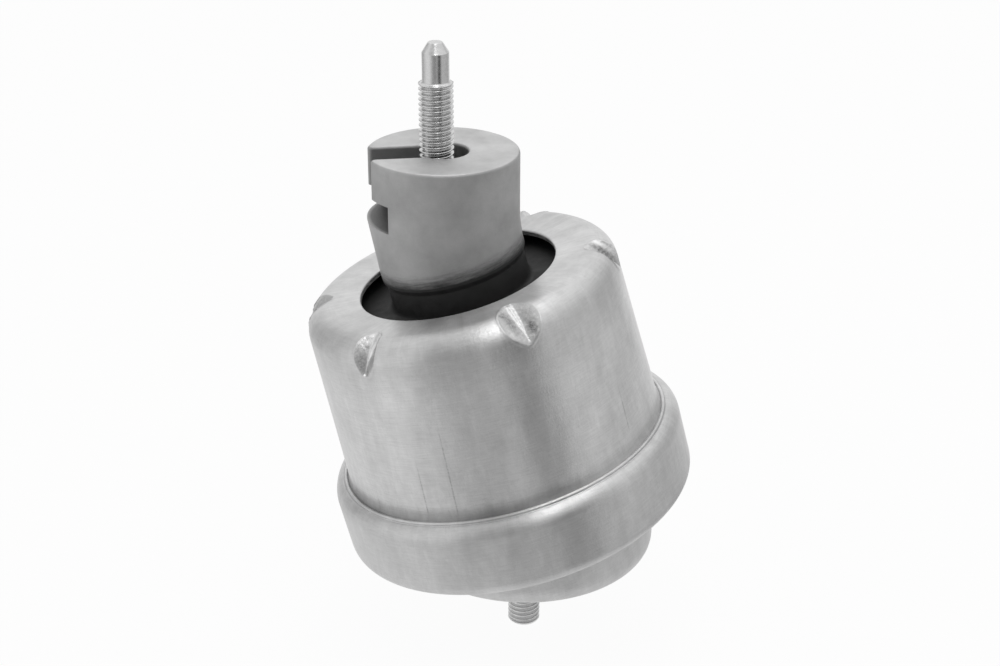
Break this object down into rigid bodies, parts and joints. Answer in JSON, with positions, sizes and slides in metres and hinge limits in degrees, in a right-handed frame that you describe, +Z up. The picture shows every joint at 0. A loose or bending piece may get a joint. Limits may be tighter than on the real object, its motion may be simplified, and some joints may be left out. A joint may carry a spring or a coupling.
{
  "type": "hydraulic engine mount",
  "caption": "Tilted fluid-filled engine mount: slotted cast core with a captive bolt in a drawn can, clamped in a base pan with a threaded stud.",
  "frame": {"origin": "where the lower stud's axis meets the foot's flat underside", "axes": "+Z up along the lower stud, -X towards the side that the housing leans to and the T-slot opens to, +Y completes the frame"},
  "size_m": [0.1142, 0.1074, 0.1887],
  "materials": {
    "drawn_aluminium": "drawn sheet, satin with fine brush marks",
    "cast_core": "cast, blasted matte grey",
    "cast_plate": "die cast, matte",
    "zinc_bolt": "zinc plated, bright",
    "stud_steel": "zinc plated, dull",
    "ring_steel": "pressed steel, phosphated",
    "black_rubber": "moulded, matte"
  },
  "bodies": {
    "root": {"top_bolt": "zinc_bolt", "core": "cast_core", "main_spring": "black_rubber", "upper_can": "drawn_aluminium", "outer_ring": "ring_steel", "track_plate_upper": "cast_plate", "decoupler": "black_rubber", "track_plate_lower": "cast_plate", "track_rivets": "ring_steel", "bellows": "black_rubber", "bellows_ring": "ring_steel", "base_pan": "drawn_aluminium", "lower_stud": "stud_steel"}
  },
  "joints": []
}
